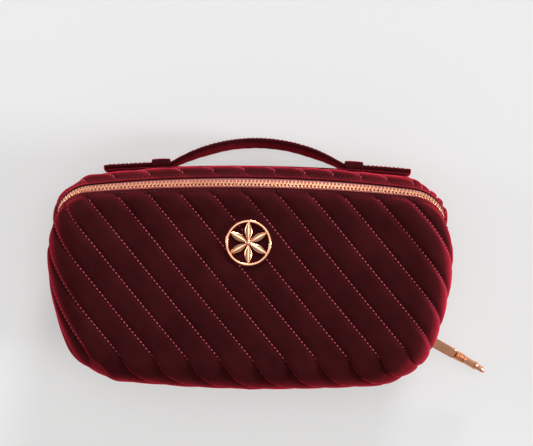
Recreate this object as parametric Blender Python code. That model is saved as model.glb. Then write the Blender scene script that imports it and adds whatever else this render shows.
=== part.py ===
"""Quilted velvet makeup bag, lying on its back.

A soft clamshell: a back half and a lid meet on a slanted zip plane and turn on a fabric hinge
along the bottom. +X is to the right of the front, +Y is towards the handle, +Z comes out of the
quilted front, and the origin is the middle of the flat back. Lengths are in metres.
"""
import math

import bmesh
import bpy
from mathutils import Matrix, Vector

MM = 0.001

# Outline seen from the front: arcs, by the direction that each one's normals end at (degrees).
TOP_Y = 62.6 * MM
TOP_RADIUS = 690.0 * MM
SHOULDER_RADIUS = 24.0 * MM
SIDE_RADIUS = 128.0 * MM
HEEL_RADIUS = 36.0 * MM
ARC_ENDS = (90.0, 82.0, 13.5, -24.0, -85.4, -90.0)
ARC_STEPS = (2, 7, 6, 8, 2)

# Side profile: the waist is the widest level, and the wall rounds off above and below it.
WAIST_Z = 53.0 * MM
BACK_REACH = 20.0 * MM
LID_REACH = 20.0 * MM
LID_TOP_REACH = 22.5 * MM
FACE_MID_Z = 78.0 * MM
FACE_SLOPE = -0.14
BACK_LEAN = -90.0
FRONT_LEAN = 90.0
WALL_STEPS = 9
BAND_STEPS = 3

# Zip plane: its height at y = 0 and its rise towards the handle.
ZIP_MID_Z = 40.4 * MM
ZIP_SLOPE = 0.40
BISECTIONS = 32

# Layers, as depths under the outer face.
VELVET = (0.0, 1.8 * MM)
WADDING = (2.2 * MM, 4.2 * MM)
BOARD = (4.6 * MM, 5.6 * MM)
LINING = (6.0 * MM, 6.8 * MM)
RIM_GAP = 4.5 * MM
WADDING_RIM_GAP = 9.6 * MM
BINDING = (3.3 * MM, 5.6 * MM)
BINDING_WIDTH = (5.0 * MM, 9.2 * MM)
BOARD_INSET = 18.0 * MM

# Zip: the tape is sewn under the velvet's edge, and the tooth rows leave the slider's post room.
TAPE = (2.15 * MM, 2.75 * MM)
TAPE_WIDTH = (3.4 * MM, 9.2 * MM)
TEETH = (1.3 * MM, 3.5 * MM)
TEETH_WIDTH = (0.7 * MM, 3.1 * MM)
ZIP_LEFT_TURN = 222.0
ZIP_RIGHT_TURN = -39.0
LID_ZIP_TURN = -19.0
STOP_SPAN = 3.0
STOP_GAP = 0.8
STOP_TOP = 1.2 * MM
TAPE_OVERRUN = 4.0
TAB_WIDTH = (-2.4 * MM, -0.4 * MM)
LEFT_TAB_TURNS = (ZIP_LEFT_TURN + 1.4, ZIP_LEFT_TURN + 9.6)
LEFT_TAB_LAYER = (-11.5 * MM, 2.0 * MM)
RIGHT_TAB_TURNS = (ZIP_RIGHT_TURN - 9.5, ZIP_RIGHT_TURN - 1.4)
RIGHT_TAB_LAYER = (0.4 * MM, 5.2 * MM)

# Slider and pull, measured outwards from the middle of the chain.
SLIDER_TURN = -24.0
SLIDER_TOP_TURN = 10.0
CHAIN_DEPTH = 2.4 * MM
SLIDER_LENGTH = 11.0 * MM
SLIDER_WIDTH = 7.6 * MM
SLIDER_OUTER = (2.0 * MM, 3.4 * MM)
SLIDER_INNER = (-3.2 * MM, -2.0 * MM)
POST_LENGTH = 3.0 * MM
POST_WIDTH = 0.8 * MM
POST_CORNER = 0.3 * MM
SLIDER_CORNER = 2.2 * MM
BRIDGE_HALF = 3.6 * MM
BRIDGE_WIDTH = 2.0 * MM
BRIDGE_BAR = 0.9 * MM
BRIDGE_CHAMFER = 0.8 * MM
PULL_PIN_OUT = 4.4 * MM
PIN_RADIUS = 0.5 * MM
PULL_DROOP = 6.0

# Pull, as heights along it from its pin.
LINK_HALF = 2.9 * MM
LINK_WALL = 1.3 * MM
LINK_TOP = 6.4 * MM
LINK_EYE_TOP = 4.8 * MM
CASE_SECTION = (4.6 * MM, 6.0 * MM)
CASE_CORNER = 0.7 * MM
CASE_SPAN = (6.8 * MM, 24.4 * MM)
COLLAR = ((24.8, 2.7), (26.0, 2.7), (26.3, 2.4), (27.6, 2.4),
          (27.9, 2.7), (29.5, 2.7), (29.8, 2.4), (30.6, 2.4))
SLEEVE = ((31.0, 2.2), (31.4, 2.35), (41.1, 2.35), (41.5, 2.2))
BULLET_RADIUS = 1.9
BULLET = ((41.9, BULLET_RADIUS), (47.6, BULLET_RADIUS), (48.6, 1.5), (49.2, 0.9))
SLANT_FROM = 45.0 * MM
BULLET_SLANT = 0.55

# Handle: local X along the strap, Y off the wall, Z across the strap.
HANDLE_X = 3.4 * MM
HANDLE_Z = 17.0 * MM
HANDLE_TILT = -20.0
BASE_HALF = 92.0 * MM
BASE_WIDTH = 14.0 * MM
BASE_Y = (1.0 * MM, 2.2 * MM)
STRAP_HALF = 94.0 * MM
STRAP_WIDTH = 12.0 * MM
STRAP_Y = (3.2 * MM, 5.6 * MM)
STRAP_SAG = 3.8 * MM
ARCH_HALF = 53.0 * MM
ARCH_RISE = 13.4 * MM
GRIP_HALF = 44.0 * MM
LOOP_X = 59.0 * MM
LOOP_LENGTH = 11.0 * MM
LOOP_Y = (2.5 * MM, 6.4 * MM)
LOOP_WALL = 0.4 * MM
LOOP_WIDTH = 13.6 * MM
PATCH_LEVELS = (10.0 * MM, 17.0 * MM, 26.0 * MM)
PATCH_TURNS = (86.0, 90.0, 94.0)

# Badge and things inside.
BADGE_AT = (-1.0 * MM, 23.5 * MM)
BADGE_RADIUS = 13.5 * MM
BADGE_BAND = 1.7 * MM
BADGE_THICK = 1.8 * MM
PETAL_HALF_WIDTH = 1.9 * MM
PETAL_STEM = 0.35 * MM
PETAL_POWER = 0.8
PETAL_STEP = 0.1 * MM
BADGE_SIDES = 40
BACKPLATE_RADIUS = 7.0 * MM
POCKET_HALF = 72.0 * MM
POCKET_Y = (-38.0 * MM, 22.0 * MM)
POCKET_TOP = 13.6 * MM
CLOTH = 0.8 * MM
LOOP_COUNT = 5
LOOP_PITCH = 22.0 * MM
LOOP_HEIGHT = 9.0 * MM
BRUSH_BAND_WIDTH = 26.0 * MM
BRUSH_BAND_Y = 2.0 * MM
LOOP_WIDTH_SHARE = 0.36
LOOP_STEPS = 6
ELASTIC_SECTION = (3.0 * MM, 2.0 * MM)
ELASTIC_CORNER = 0.6 * MM
BACKPLATE_SINK = 0.2 * MM

GAP = 0.35 * MM
SHARP_ANGLE = 40.0


def clear_scene():
    for item in list(bpy.data.objects):
        bpy.data.objects.remove(item, do_unlink=True)


def make_material(name, color, roughness, metallic=0.0):
    material = bpy.data.materials.new(name)
    material.use_nodes = True
    shader = material.node_tree.nodes["Principled BSDF"]
    shader.inputs["Base Color"].default_value = (*color, 1.0)
    shader.inputs["Roughness"].default_value = roughness
    shader.inputs["Metallic"].default_value = metallic
    material.diffuse_color = (*color, 1.0)
    return material


def outline_arcs():
    """Centre, radius and end directions of each arc of the right half, top to bottom."""
    radii = (TOP_RADIUS, SHOULDER_RADIUS, SIDE_RADIUS, HEEL_RADIUS)
    centre = Vector((0.0, TOP_Y - TOP_RADIUS))
    arcs = []
    for index, radius in enumerate(radii):
        start, end = ARC_ENDS[index], ARC_ENDS[index + 1]
        arcs.append((centre, radius, start, end))
        aim = Vector((math.cos(math.radians(end)), math.sin(math.radians(end))))
        closing = radius + centre.x / aim.x
        following = radii[index + 1] if index + 1 < len(radii) else closing
        centre = centre + aim * (radius - following)
    arcs.append((centre, following, ARC_ENDS[-2], ARC_ENDS[-1]))
    return arcs


ARCS = outline_arcs()


def outline_at(turn):
    """Point and outward normal of the outline where the normal points `turn` degrees round."""
    mirrored = turn > 90.0
    own = 180.0 - turn if mirrored else turn
    for centre, radius, start, end in ARCS:
        if end - 1e-9 <= own <= start + 1e-9:
            break
    normal = Vector((math.cos(math.radians(own)), math.sin(math.radians(own))))
    spot = centre + normal * radius
    if mirrored:
        spot.x = -spot.x
        normal.x = -normal.x
    return spot, normal


def right_turns():
    turns = []
    for index, steps in enumerate(ARC_STEPS):
        start, end = ARC_ENDS[index], ARC_ENDS[index + 1]
        turns += [start + (end - start) * step / steps for step in range(steps)]
    return turns + [ARC_ENDS[-1]]


RIGHT = right_turns()
COLUMNS = RIGHT[::-1] + [180.0 - turn for turn in RIGHT[1:-1]]


def turns_between(low, high):
    """The shared columns between two directions, with both ends added."""
    inside = [turn for turn in COLUMNS if low + 0.5 < turn < high - 0.5]
    return [low] + inside + [high]


def face_z(y):
    """Height of the flat front, before any layer is taken off it."""
    return FACE_MID_Z + FACE_SLOPE * y


def lid_reach(normal):
    return LID_REACH - (LID_REACH - LID_TOP_REACH) * max(0.0, normal.y) ** 2


def lid_top_z(turn):
    spot, normal = outline_at(turn)
    return face_z(spot.y - normal.y * lid_reach(normal))


def wall_height(turn, lean, depth):
    """Height of the quarter ellipse that rounds the wall off, below or above the waist."""
    return (WAIST_Z if lean < 0.0 else lid_top_z(turn) - WAIST_Z) - depth


def lean_point(turn, lean, depth):
    """Point on the layer `depth` under the outer face: lean is -90 on the back and 90 on the front."""
    spot, normal = outline_at(turn)
    reach = BACK_REACH if lean < 0.0 else lid_reach(normal)
    angle = math.radians(lean)
    inward = depth + (reach - depth) * (1.0 - math.cos(angle))
    return Vector((*(spot - normal * inward), WAIST_Z + wall_height(turn, lean, depth) * math.sin(angle)))


def lean_at(turn, z, depth):
    rise = (z - WAIST_Z) / wall_height(turn, z - WAIST_Z, depth)
    return math.degrees(math.asin(max(-1.0, min(1.0, rise))))


def layer_point(turn, z, depth):
    """Point at height z on the layer that lies `depth` under the outer face."""
    return lean_point(turn, lean_at(turn, z, depth), depth)


def zip_lean(turn, lift, depth):
    """Lean at which a layer crosses a height `lift` above the zip plane, found by halving."""
    low, high = BACK_LEAN, FRONT_LEAN
    for _ in range(BISECTIONS):
        middle = (low + high) / 2
        point = lean_point(turn, middle, depth)
        if point.z < ZIP_MID_Z + ZIP_SLOPE * point.y + lift:
            low = middle
        else:
            high = middle
    return (low + high) / 2


def zip_point(turn, lift, depth):
    """Point on a layer at a height `lift` above the zip plane."""
    return lean_point(turn, zip_lean(turn, lift, depth), depth)


def add_object(name, work, material, place):
    bmesh.ops.recalc_face_normals(work, faces=work.faces[:])
    mesh = bpy.data.meshes.new(name)
    work.to_mesh(mesh)
    work.free()
    mesh.materials.append(material)
    mesh.shade_smooth()
    mesh.set_sharp_from_angle(angle=math.radians(SHARP_ANGLE))
    item = bpy.data.objects.new(name, mesh)
    bpy.context.scene.collection.objects.link(item)
    if place is not None:
        item.matrix_world = place
    return item


def skin_rows(name, rows, material, place=None, ring=False):
    """Join closed loops of points, row to row, and close the two ends unless the rows make a ring."""
    work = bmesh.new()
    grid = [[work.verts.new(point) for point in row] for row in rows]
    count = len(rows[0])
    last = len(rows) if ring else len(rows) - 1
    for upper in range(last):
        lower = (upper + 1) % len(rows)
        for column in range(count):
            beside = (column + 1) % count
            work.faces.new((grid[upper][column], grid[upper][beside],
                            grid[lower][beside], grid[lower][column]))
    if not ring:
        work.faces.new(grid[0])
        work.faces.new(grid[-1])
    return add_object(name, work, material, place)


def prism(name, outline, low, high, material, place=None):
    """Extrude a flat outline from low to high along the local Z."""
    rows = [[Vector((x, y, level)) for x, y in outline] for level in (low, high)]
    return skin_rows(name, rows, material, place)


def box(name, low, high, material, place=None):
    outline = [(low[0], low[1]), (high[0], low[1]), (high[0], high[1]), (low[0], high[1])]
    return prism(name, outline, low[2], high[2], material, place)


def cut(item, cutter, operation="DIFFERENCE"):
    modifier = item.modifiers.new(cutter.name, "BOOLEAN")
    modifier.object = cutter
    modifier.operation = operation
    modifier.solver = "EXACT"
    cutter.hide_render = True
    cutter.display_type = "WIRE"


def keep_world(item, parent):
    bpy.context.view_layer.update()
    item.parent = parent
    item.matrix_parent_inverse = parent.matrix_world.inverted()


def axis_empty(name, at, axis):
    """An empty on a joint's axis, with its own Z along the axis."""
    item = bpy.data.objects.new(name, None)
    item.empty_display_size = 0.01
    bpy.context.scene.collection.objects.link(item)
    item.matrix_world = Matrix.Translation(at) @ axis.to_track_quat("Z", "Y").to_matrix().to_4x4()
    return item


# Body layers

def cup(name, layer, rim_gap, face_lean, material):
    """A layer of one half: flat panel, rounded edge, wall up to the zip. face_lean picks the half."""
    side = 1.0 if face_lean > 0.0 else -1.0
    rows = []
    for depth, steps in ((layer[0], range(WALL_STEPS + 1)), (layer[1], range(WALL_STEPS, -1, -1))):
        rims = [zip_lean(turn, side * rim_gap, depth) for turn in COLUMNS]
        for step in steps:
            part = step / WALL_STEPS
            rows.append([lean_point(turn, face_lean + (rim - face_lean) * part, depth)
                         for turn, rim in zip(COLUMNS, rims)])
    return skin_rows(name, rows, material)


def band(name, turns, widths, layer, material, ring=False):
    """A strip that runs along the zip line, between two heights and two depths."""
    lifts = [widths[0] + (widths[1] - widths[0]) * step / BAND_STEPS for step in range(BAND_STEPS + 1)]
    section = [(lift, layer[0]) for lift in lifts] + [(lift, layer[1]) for lift in lifts[::-1]]
    rows = [[zip_point(turn, lift, depth) for lift, depth in section] for turn in turns]
    return skin_rows(name, rows, material, ring=ring)


def below(widths):
    return (-widths[1], -widths[0])


def flat_board(name, low, high, material):
    """A stiffener cut to the flat part of a panel; low and high give its faces' heights from y."""
    outline = []
    for turn in COLUMNS:
        spot, normal = outline_at(turn)
        outline.append(spot - normal * max(BOARD_INSET, lid_reach(normal)))
    rows = [[Vector((spot.x, spot.y, level(spot.y))) for spot in outline] for level in (low, high)]
    return skin_rows(name, rows, material)


def make_back_half(materials):
    cup("back_shell", VELVET, RIM_GAP, BACK_LEAN, materials["velvet"])
    cup("back_wadding", WADDING, WADDING_RIM_GAP, BACK_LEAN, materials["wadding"])
    cup("back_lining", LINING, RIM_GAP, BACK_LEAN, materials["lining"])
    flat_board("back_board", lambda y: BOARD[0], lambda y: BOARD[1], materials["board"])
    band("back_binding", COLUMNS, below(BINDING_WIDTH), BINDING, materials["lining"], ring=True)


def make_lid(materials):
    cup("front_shell", VELVET, RIM_GAP, FRONT_LEAN, materials["velvet"])
    cup("front_wadding", WADDING, WADDING_RIM_GAP, FRONT_LEAN, materials["wadding"])
    cup("front_lining", LINING, RIM_GAP, FRONT_LEAN, materials["lining"])
    board = flat_board("front_board", lambda y: face_z(y) - BOARD[1],
                       lambda y: face_z(y) - BOARD[0], materials["board"])
    hole = round_bar("backplate_hole", BACKPLATE_RADIUS + 2 * GAP, -LINING[1], 0.0, materials["board"],
                     badge_place())
    cut(board, hole)
    band("front_binding", COLUMNS, BINDING_WIDTH, BINDING, materials["lining"], ring=True)


def make_hinge_panel(materials):
    """Velvet that bridges the two halves along the bottom, between the zip's ends."""
    reach = RIM_GAP - GAP
    right = [turn for turn in RIGHT if turn <= ARC_ENDS[-2]]
    turns = right + [180.0 - turn for turn in right[-2::-1]]
    band("hinge_panel", turns, (-reach, reach), VELVET, materials["velvet"])


# Zip

def make_zip(materials):
    last_tooth = ZIP_LEFT_TURN - STOP_SPAN - STOP_GAP
    whole = turns_between(ZIP_RIGHT_TURN - TAPE_OVERRUN, ZIP_LEFT_TURN + TAPE_OVERRUN)
    chain = turns_between(ZIP_RIGHT_TURN + STOP_SPAN + STOP_GAP, last_tooth)
    lid_run = turns_between(LID_ZIP_TURN, last_tooth)
    band("zip_tape_back", whole, below(TAPE_WIDTH), TAPE, materials["zip_tape"])
    band("zip_tape_front", lid_run, TAPE_WIDTH, TAPE, materials["zip_tape"])
    band("zip_teeth_back", chain, below(TEETH_WIDTH), TEETH, materials["rose_gold"])
    band("zip_teeth_front", lid_run, TEETH_WIDTH, TEETH, materials["rose_gold"])
    for name, start in (("zip_stop_left", ZIP_LEFT_TURN - STOP_SPAN), ("zip_stop_right", ZIP_RIGHT_TURN)):
        band(name, [start, start + STOP_SPAN], (-TEETH_WIDTH[1], STOP_TOP), TEETH, materials["rose_gold"])
    band("zip_tab_left", LEFT_TAB_TURNS, TAB_WIDTH, LEFT_TAB_LAYER, materials["lining"])
    band("zip_tab_right", RIGHT_TAB_TURNS, TAB_WIDTH, RIGHT_TAB_LAYER, materials["lining"])


def zip_plane_normal():
    return Vector((0.0, -ZIP_SLOPE, 1.0)).normalized()


def travel_circle():
    """Centre of the circle through the start, middle and end of the slider's run."""
    start, middle, end = [zip_point(turn, 0.0, CHAIN_DEPTH)
                          for turn in (SLIDER_TURN, (SLIDER_TURN + SLIDER_TOP_TURN) / 2, SLIDER_TOP_TURN)]
    first, second = middle - start, end - start
    across = first.cross(second)
    offset = (across.cross(first) * second.length_squared
              + second.cross(across) * first.length_squared) / (2.0 * across.length_squared)
    centre = start + offset
    aim_start, aim_end = start - centre, end - centre
    return centre, math.degrees(aim_start.angle(aim_end))


def slider_place():
    """Frame of the slider: local X outwards, local Y along its travel, local Z across the chain."""
    at = zip_point(SLIDER_TURN, 0.0, CHAIN_DEPTH)
    centre, _ = travel_circle()
    up = zip_plane_normal()
    outward = (at - centre).normalized()
    along = up.cross(outward)
    frame = Matrix((outward, along, up)).transposed().to_4x4()
    return Matrix.Translation(at) @ frame


def rounded_rectangle(length, width, corner, steps=3):
    """Loop of points round a rectangle with round corners, centred on zero."""
    points = []
    for quarter in range(4):
        sign_x = 1.0 if quarter in (0, 3) else -1.0
        sign_y = 1.0 if quarter in (0, 1) else -1.0
        for step in range(steps + 1):
            turn = math.radians(90.0 * (quarter + step / steps))
            points.append((sign_x * (length / 2 - corner) + corner * math.cos(turn),
                           sign_y * (width / 2 - corner) + corner * math.sin(turn)))
    return points


def make_slider(materials, place):
    plate = rounded_rectangle(SLIDER_LENGTH, SLIDER_WIDTH, SLIDER_CORNER)
    post = rounded_rectangle(POST_LENGTH, POST_WIDTH, POST_CORNER)
    levels = [(SLIDER_INNER[0], plate), (SLIDER_INNER[1], plate), (SLIDER_INNER[1], post),
              (SLIDER_OUTER[0], post), (SLIDER_OUTER[0], plate), (SLIDER_OUTER[1], plate)]
    rows = [[Vector((out, along, across)) for along, across in loop] for out, loop in levels]
    slider = skin_rows("slider_body", rows, materials["rose_gold"], place)

    foot = SLIDER_OUTER[1] + GAP
    inner_top = PULL_PIN_OUT + PIN_RADIUS + GAP
    outer_top = inner_top + BRIDGE_BAR
    outer_half, inner_half = BRIDGE_HALF, BRIDGE_HALF - BRIDGE_BAR
    shoulder = outer_top - BRIDGE_CHAMFER
    ridge = outer_half - BRIDGE_CHAMFER
    arch = [(foot, -outer_half), (shoulder, -outer_half), (outer_top, -ridge), (outer_top, ridge),
            (shoulder, outer_half), (foot, outer_half), (foot, inner_half), (inner_top, inner_half),
            (inner_top, -inner_half), (foot, -inner_half)]
    bridge = prism("slider_bridge", arch, -BRIDGE_WIDTH / 2, BRIDGE_WIDTH / 2,
                   materials["rose_gold"], place)
    return [slider, bridge]


def ring_of_points(radius, sides):
    return [(radius * math.cos(2 * math.pi * side / sides), radius * math.sin(2 * math.pi * side / sides))
            for side in range(sides)]


def round_bar(name, radius, low, high, material, place, sides=24):
    return prism(name, ring_of_points(radius, sides), low, high, material, place)


def turned(name, profile, material, place, sides=16):
    """Turn a profile of (height, radius) pairs in millimetres about the local Z."""
    rows = []
    for height, radius in profile:
        rows.append([Vector((x, y, height * MM)) for x, y in ring_of_points(radius * MM, sides)])
    return skin_rows(name, rows, material, place)


# Turns a frame so that its local Z lies along the old X, and its local X along the old Y.
LAY_ALONG_X = Matrix(((0, 0, 1, 0), (1, 0, 0, 0), (0, 1, 0, 0), (0, 0, 0, 1)))


def pull_place(slider):
    """Frame of the pull: local Z along it, local Y along its pin, origin on the pin."""
    pin = slider @ Matrix.Translation((PULL_PIN_OUT, 0.0, 0.0))
    droop = Matrix.Rotation(math.radians(PULL_DROOP), 4, "Y")
    return pin @ LAY_ALONG_X @ droop.inverted()


def make_pull(materials, place):
    """Link, case, collar, sleeve and slanted tip, threaded on one line."""
    gold = materials["rose_gold"]
    eye_half = LINK_HALF - LINK_WALL
    link = box("pull_link", (-PIN_RADIUS, -LINK_HALF, -PIN_RADIUS), (PIN_RADIUS, LINK_HALF, LINK_TOP),
               gold, place)
    eye = box("pull_link_eye", (-2 * PIN_RADIUS, -eye_half, PIN_RADIUS),
              (2 * PIN_RADIUS, eye_half, LINK_EYE_TOP), gold, place)
    cut(link, eye)
    case = prism("pull_case", rounded_rectangle(*CASE_SECTION, CASE_CORNER, 2), *CASE_SPAN, gold, place)
    collar = turned("pull_collar", COLLAR, gold, place)
    sleeve = turned("pull_sleeve", SLEEVE, gold, place)
    bullet = turned("pull_bullet", BULLET, gold, place)
    for corner in bullet.data.vertices:
        if corner.co.z > SLANT_FROM:
            corner.co.z -= (corner.co.x + BULLET_RADIUS * MM) * BULLET_SLANT
    return [link, eye, case, collar, sleeve, bullet]


# Handle

def handle_place():
    """Frame of the handle, on the top wall: local X along the strap, Y off the wall, Z across it."""
    wall = layer_point(ARC_ENDS[0], HANDLE_Z, 0.0)
    tilt = Matrix.Rotation(math.radians(HANDLE_TILT), 4, "X")
    return Matrix.Translation((HANDLE_X, wall.y, wall.z)) @ tilt


def base_rise(x):
    """Fall of the strap's base towards its ends, as the top of the bag is rounded."""
    return -STRAP_SAG * (x / STRAP_HALF) ** 2


def arch_rise(x):
    return base_rise(x) + ARCH_RISE * max(0.0, 1.0 - (x / ARCH_HALF) ** 2)


def strap_piece(name, span, steps, levels, width, rise, material, place):
    """A length of strap over a span of local X, between two levels above its rise."""
    spots = [span[0] + (span[1] - span[0]) * step / steps for step in range(steps + 1)]
    under = [(x, levels[0] + rise(x)) for x in spots]
    over = [(x, levels[1] + rise(x)) for x in spots[::-1]]
    return prism(name, under + over, -width / 2, width / 2, material, place)


def make_strap_loop(name, middle, material, place):
    """A flat sleeve of velvet round the strap."""
    half = LOOP_LENGTH / 2
    inside = (LOOP_Y[0] + LOOP_WALL, LOOP_Y[1] - LOOP_WALL)
    loop = strap_piece("handle_loop_" + name, (middle - half, middle + half), 1, LOOP_Y, LOOP_WIDTH,
                       base_rise, material, place)
    mouth = strap_piece("handle_mouth_" + name, (middle - 2 * half, middle + 2 * half), 1, inside,
                        LOOP_WIDTH - 2 * LOOP_WALL, base_rise, material, place)
    cut(loop, mouth)


def make_handle(materials):
    place = handle_place()
    velvet = materials["velvet"]
    strap_piece("handle_base", (-BASE_HALF, BASE_HALF), 20, BASE_Y, BASE_WIDTH, base_rise, velvet, place)
    for name, side in (("left", -1.0), ("right", 1.0)):
        strap_piece("handle_end_" + name, (side * STRAP_HALF, side * (GRIP_HALF + GAP)), 16, STRAP_Y,
                    STRAP_WIDTH, arch_rise, velvet, place)
        make_strap_loop(name, side * LOOP_X, velvet, place)
    grip = strap_piece("handle_grip", (-GRIP_HALF, GRIP_HALF), 16, STRAP_Y,
                       STRAP_WIDTH, arch_rise, velvet, place)
    foot = (STRAP_Y[0] + STRAP_Y[1]) / 2 + base_rise(ARCH_HALF)
    keep_world(grip, axis_empty("handle_axis", place @ Vector((0.0, foot, 0.0)), Vector((1.0, 0.0, 0.0))))

    rows = []
    for turn in PATCH_TURNS:
        section = [layer_point(turn, z, BOARD[0]) for z in PATCH_LEVELS]
        section += [layer_point(turn, z, BOARD[1]) for z in PATCH_LEVELS[::-1]]
        rows.append(section)
    skin_rows("handle_patch", rows, materials["board"])


# Badge

def face_axes():
    """Directions out of the flat front and up along it."""
    return Vector((0.0, -FACE_SLOPE, 1.0)).normalized(), Vector((0.0, 1.0, FACE_SLOPE)).normalized()


def badge_place():
    """Frame on the flat front at the badge: local Z out of the face."""
    x, y = BADGE_AT
    out, up = face_axes()
    frame = Matrix((up.cross(out), up, out)).transposed().to_4x4()
    return Matrix.Translation((x, y, face_z(y))) @ frame


def petal_pair(reach, half_width, steps=6):
    """Outline of two slim petals, end to end through the middle."""
    upper = []
    for step in range(2 * steps + 1):
        along = -1.0 + step / steps
        swell = abs(math.sin(math.pi * along)) ** PETAL_POWER
        upper.append((along * reach, PETAL_STEM + half_width * swell))
    return upper + [(x, -y) for x, y in upper[::-1]]


def make_badge(materials):
    gold, place = materials["rose_gold"], badge_place()
    low, high = GAP, GAP + BADGE_THICK
    badge = round_bar("badge", BADGE_RADIUS, low, high, gold, place, BADGE_SIDES)
    hole = round_bar("badge_inside", BADGE_RADIUS - BADGE_BAND, -high, 2 * high, gold, place, BADGE_SIDES)
    cut(badge, hole)
    petals = []
    for index in range(3):
        turn = place @ Matrix.Rotation(math.radians(90.0 + 60.0 * index), 4, "Z")
        outline = petal_pair(BADGE_RADIUS - BADGE_BAND / 2, PETAL_HALF_WIDTH)
        top = high - PETAL_STEP * (index + 1)
        petal = prism("petal_%d" % index, outline, low + PETAL_STEP, top, gold, turn)
        cut(badge, petal, "UNION")
        petals.append(petal)
    plate = round_bar("badge_backplate", BACKPLATE_RADIUS, -BOARD[1], -BOARD[0] - BACKPLATE_SINK, gold, place)
    return [badge, hole, plate] + petals


# Inside

def make_pocket(materials):
    """Slip pocket on the floor of the back half, open towards the handle."""
    cloth = materials["lining"]
    floor = LINING[1] + GAP
    pocket = box("inner_pocket", (-POCKET_HALF, POCKET_Y[0], floor),
                 (POCKET_HALF, POCKET_Y[1], POCKET_TOP), cloth)
    room = box("inner_pocket_room", (-POCKET_HALF + CLOTH, POCKET_Y[0] + CLOTH, 0.0),
               (POCKET_HALF - CLOTH, POCKET_Y[1] + 0.01, POCKET_TOP - CLOTH), cloth)
    cut(pocket, room)
    outline = rounded_rectangle(*ELASTIC_SECTION, ELASTIC_CORNER, 2)
    middle_y = POCKET_Y[1] + ELASTIC_SECTION[0] / 2 + GAP
    place = Matrix.Translation((0.0, middle_y, POCKET_TOP - CLOTH / 2)) @ LAY_ALONG_X
    prism("pocket_elastic", outline, -POCKET_HALF, POCKET_HALF, materials["elastic"], place)


def loop_path(offset):
    """Wave of brush loops: feet on the lining, round backs; offset grows the loops outwards."""
    points = []
    radius = LOOP_PITCH * LOOP_WIDTH_SHARE + offset
    for index in range(LOOP_COUNT):
        middle = (index - (LOOP_COUNT - 1) / 2) * LOOP_PITCH
        for step in range(LOOP_STEPS + 1):
            turn = math.pi * (1.0 - step / LOOP_STEPS)
            points.append((middle + radius * math.cos(turn), offset + LOOP_HEIGHT * math.sin(turn)))
    half = LOOP_COUNT * LOOP_PITCH / 2
    return [(-half, offset)] + points + [(half, offset)]


def make_brush_band(materials):
    """Elastic band sewn into loops on the lid's lining."""
    out, up = face_axes()
    # Local X runs along the band and local Y into the bag, so local Z points away from the handle.
    frame = Matrix((Vector((1.0, 0.0, 0.0)), -out, -up)).transposed().to_4x4()
    at = Vector((0.0, BRUSH_BAND_Y, face_z(BRUSH_BAND_Y))) - out * (LINING[1] + GAP)
    outline = loop_path(0.0) + loop_path(CLOTH)[::-1]
    half = BRUSH_BAND_WIDTH / 2
    prism("brush_band", outline, -half, half, materials["elastic"], Matrix.Translation(at) @ frame)


def main():
    clear_scene()
    materials = {
        "velvet": make_material("velvet", (0.09, 0.008, 0.012), 0.85),
        "wadding": make_material("wadding", (0.85, 0.84, 0.8), 0.95),
        "lining": make_material("lining", (0.012, 0.01, 0.012), 0.5),
        "board": make_material("board", (0.3, 0.3, 0.3), 0.8),
        "elastic": make_material("elastic", (0.02, 0.02, 0.02), 0.8),
        "zip_tape": make_material("zip_tape", (0.22, 0.035, 0.035), 0.6),
        "rose_gold": make_material("rose_gold", (0.85, 0.45, 0.3), 0.25, 1.0),
    }
    make_back_half(materials)
    make_lid(materials)
    make_hinge_panel(materials)
    make_zip(materials)
    place = slider_place()
    slider = make_slider(materials, place)
    centre, _ = travel_circle()
    run_axis = axis_empty("slider_run", centre, zip_plane_normal())
    pull_frame = pull_place(place)
    pull = make_pull(materials, pull_frame)
    pin_axis = axis_empty("pull_pin", pull_frame.to_translation(), pull_frame.to_3x3() @ Vector((0, 1, 0)))
    for item in slider:
        keep_world(item, run_axis)
    for item in pull:
        keep_world(item, pin_axis)
    keep_world(pin_axis, run_axis)
    make_handle(materials)
    badge = make_badge(materials)
    make_pocket(materials)
    make_brush_band(materials)
    hinge = axis_empty("lid_hinge", zip_point(BACK_LEAN, 0.0, 0.0), Vector((1.0, 0.0, 0.0)))
    for name in ("front_shell", "front_wadding", "front_lining", "front_board", "front_binding",
                 "zip_tape_front", "zip_teeth_front", "brush_band", "backplate_hole"):
        keep_world(bpy.data.objects[name], hinge)
    for item in badge:
        keep_world(item, hinge)


main()
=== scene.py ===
"""Quilted velvet makeup bag: the looks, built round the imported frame. Lengths are in metres."""
import math

import bmesh
import bpy
import numpy as np
from mathutils import Matrix, Vector, noise
from mathutils.geometry import delaunay_2d_cdt


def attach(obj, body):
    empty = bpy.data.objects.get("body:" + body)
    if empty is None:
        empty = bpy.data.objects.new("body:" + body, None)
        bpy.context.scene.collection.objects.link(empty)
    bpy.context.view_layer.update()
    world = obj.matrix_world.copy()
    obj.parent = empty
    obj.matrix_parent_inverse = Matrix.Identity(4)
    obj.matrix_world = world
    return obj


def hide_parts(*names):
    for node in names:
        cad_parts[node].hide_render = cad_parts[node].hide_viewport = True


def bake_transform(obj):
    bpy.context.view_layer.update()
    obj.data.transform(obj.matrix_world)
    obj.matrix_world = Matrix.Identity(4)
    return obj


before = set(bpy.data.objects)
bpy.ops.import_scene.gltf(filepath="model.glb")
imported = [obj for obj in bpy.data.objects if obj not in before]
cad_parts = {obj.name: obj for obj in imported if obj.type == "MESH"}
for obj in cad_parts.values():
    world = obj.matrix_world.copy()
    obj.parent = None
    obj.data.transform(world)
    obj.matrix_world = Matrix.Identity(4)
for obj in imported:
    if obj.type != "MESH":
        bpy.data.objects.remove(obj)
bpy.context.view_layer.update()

MM = 0.001

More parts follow.
